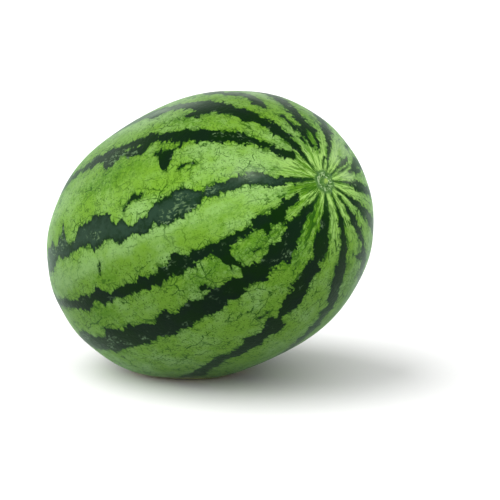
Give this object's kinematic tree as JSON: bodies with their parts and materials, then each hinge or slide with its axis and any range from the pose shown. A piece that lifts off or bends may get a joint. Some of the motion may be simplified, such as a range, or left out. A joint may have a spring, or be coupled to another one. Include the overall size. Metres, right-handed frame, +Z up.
{
  "type": "watermelon",
  "caption": "Whole oval watermelon with a green striped rind, lying on a small flat spot with its corky stem scar raised.",
  "frame": {"origin": "on the surface it lies on, under the middle of its box", "axes": "+Z up, +X along the level direction of the fruit's axis, towards the raised stem end"},
  "size_m": [0.2816, 0.25, 0.2426],
  "materials": {
    "rind": "smooth waxy rind with a soft gloss, light green with jagged dark green stripes from end to end"
  },
  "bodies": {
    "root": {"watermelon": "rind"}
  },
  "joints": []
}
